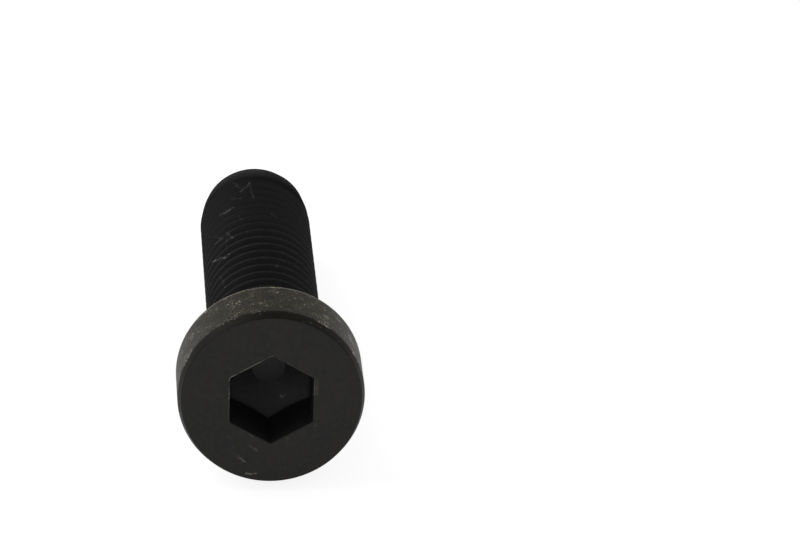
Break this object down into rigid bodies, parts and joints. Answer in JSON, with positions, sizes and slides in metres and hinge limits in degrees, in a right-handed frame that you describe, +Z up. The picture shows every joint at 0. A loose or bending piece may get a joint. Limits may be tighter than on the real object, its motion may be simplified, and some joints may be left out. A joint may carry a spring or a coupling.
{
  "type": "low head socket cap screw",
  "caption": "Black steel machine screw with a low cylindrical head, a hexagon socket and a coarse right-hand thread up to a short plain neck.",
  "frame": {"origin": "on the ground, under the middle of the lying screw's box", "axes": "+Y along the screw from its head to its point, which lies 5.67 degrees lower than level; +Z up; +X across the screw"},
  "size_m": [0.0158, 0.0418, 0.0163],
  "materials": {
    "black_steel": "black oxide on forged and rolled steel, lightly oiled"
  },
  "bodies": {
    "root": {"cap_screw": "black_steel"}
  },
  "joints": []
}
